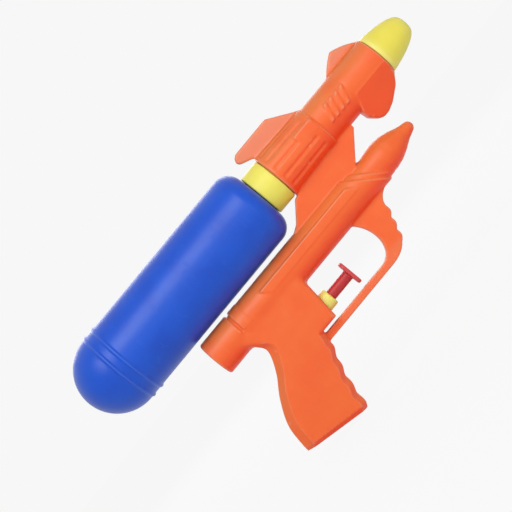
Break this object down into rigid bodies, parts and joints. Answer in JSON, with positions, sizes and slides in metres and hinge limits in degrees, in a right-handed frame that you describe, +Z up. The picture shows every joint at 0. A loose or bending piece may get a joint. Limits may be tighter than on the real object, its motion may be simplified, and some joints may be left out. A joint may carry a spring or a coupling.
{
  "type": "water squirter",
  "caption": "Toy water pistol with a screw-on bottle behind the upper barrel, a push trigger pump in the grip and a cone nozzle",
  "frame": {"origin": "in the middle plane, inside the grip where the hand closes round it", "axes": "+X to the muzzle, +Z up, +Y to the left; the body halves meet on the plane Y = 0"},
  "size_m": [0.249, 0.0462, 0.1322],
  "materials": {
    "orange_body": "semi-gloss moulded polyethylene",
    "blue_bottle": "glossy blown bottle plastic",
    "yellow_trim": "semi-gloss moulded polyethylene",
    "red_trigger": "semi-gloss moulded plastic",
    "natural_plastic": "natural moulded plastic",
    "hose": "soft vinyl tube",
    "rubber": "matt rubber",
    "steel": "bright zinc-plated steel"
  },
  "bodies": {
    "body": {"right_shell": "orange_body", "left_shell": "orange_body", "body_screw_1": "steel", "body_screw_2": "steel", "body_screw_3": "steel", "body_screw_4": "steel", "body_screw_5": "steel", "body_screw_6": "steel", "body_screw_7": "steel", "tank_collar": "yellow_trim", "dip_tube": "hose", "suction_hose": "hose", "outlet_hose": "hose", "pump_cylinder": "natural_plastic", "gland_bush": "yellow_trim", "inlet_nipple": "natural_plastic", "outlet_nipple": "natural_plastic", "nozzle": "yellow_trim", "nozzle_jet": "natural_plastic", "return_spring": "steel", "inlet_spring": "steel", "outlet_spring": "steel"},
    "plunger": {"trigger": "red_trigger", "piston_seal": "rubber"},
    "inlet_valve": {"inlet_ball": "steel"},
    "outlet_valve": {"outlet_ball": "steel"},
    "gasket": {"tank_gasket": "rubber"},
    "bottle": {"tank": "blue_bottle"}
  },
  "joints": [
    {"name": "trigger_pull", "type": "slide", "parent": "body", "child": "plunger", "axis": [-1, 0, 0], "range_m": [0, 0.012], "stiffness_N_per_m": 250, "springref_m": -0.008, "deforming": ["return_spring"]},
    {"name": "inlet_lift", "type": "slide", "parent": "body", "child": "inlet_valve", "axis": [0, 0, -1], "range_m": [0, 0.001], "stiffness_N_per_m": 30, "springref_m": -0.002, "deforming": ["inlet_spring"]},
    {"name": "outlet_lift", "type": "slide", "parent": "body", "child": "outlet_valve", "axis": [0, 0, 1], "range_m": [0, 0.001], "stiffness_N_per_m": 30, "springref_m": -0.002, "deforming": ["outlet_spring"]},
    {"name": "tank_advance", "type": "slide", "parent": "body", "child": "gasket", "axis": [-1, 0, 0], "range_m": [0, 0.0064]},
    {"name": "tank_turn", "type": "hinge", "parent": "gasket", "child": "bottle", "pos_m": [0, 0, 0.0805], "axis": [-1, 0, 0], "range_deg": [0, 720]}
  ],
  "couplings": [
    {"joint": "tank_advance", "follows": "tank_turn", "m_per_rad": 0.000509}
  ]
}
